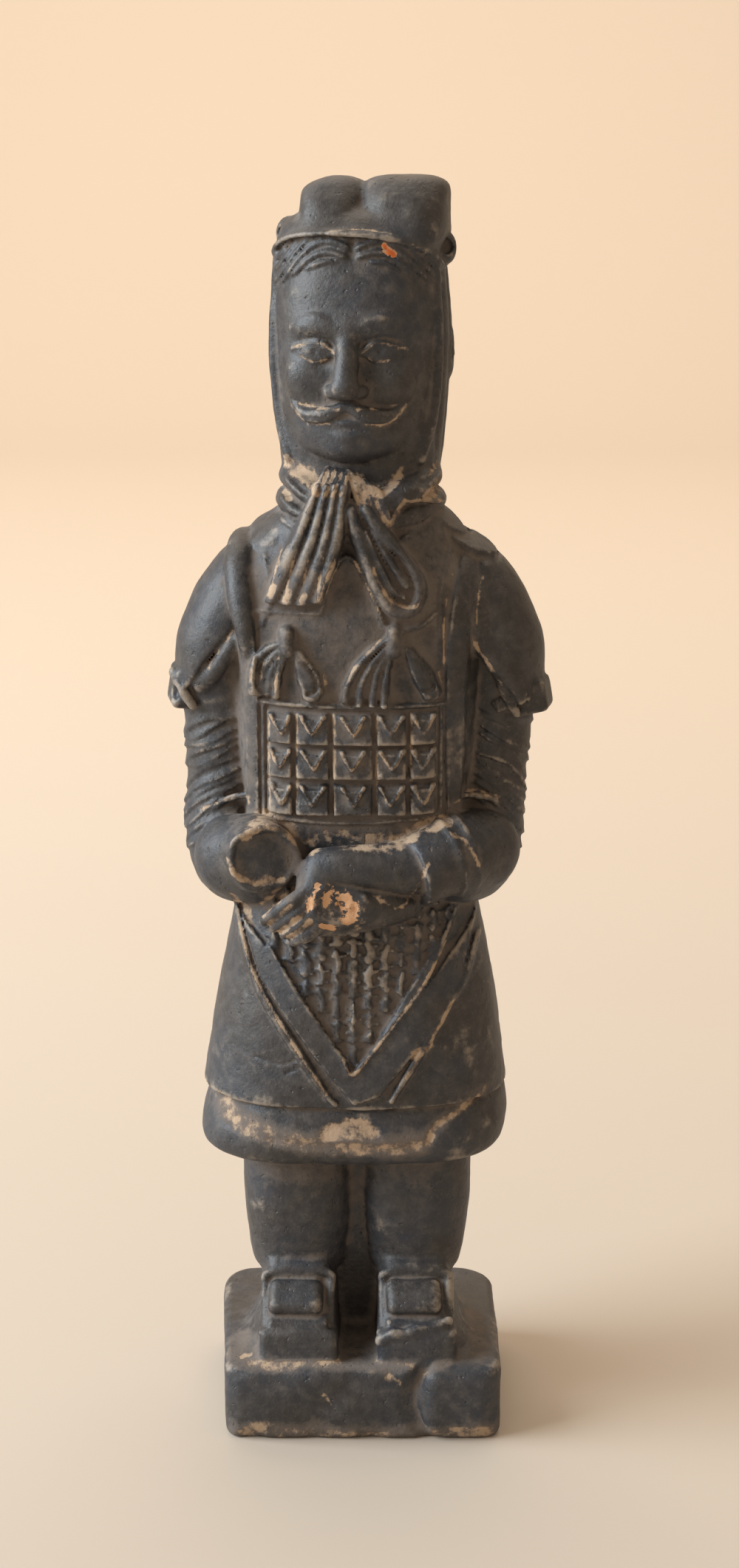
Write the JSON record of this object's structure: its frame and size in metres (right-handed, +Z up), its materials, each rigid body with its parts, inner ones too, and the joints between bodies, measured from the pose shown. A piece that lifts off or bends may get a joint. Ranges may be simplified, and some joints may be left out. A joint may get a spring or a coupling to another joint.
{
  "type": "terracotta warrior figurine",
  "caption": "Small moulded clay figurine of a standing warrior general in plated armour, hands laid together, in one piece with its low plinth.",
  "frame": {"origin": "middle of the plinth's flat underside", "axes": "+Z up, the figure's front towards -Y, the viewer's right towards +X"},
  "size_m": [0.0439, 0.0318, 0.148],
  "materials": {
    "blackened_clay": "matt black slip over fired clay, dusty tan in the grooves and worn through to tan clay at the high places"
  },
  "bodies": {
    "root": {"warrior_figurine": "blackened_clay"}
  },
  "joints": []
}
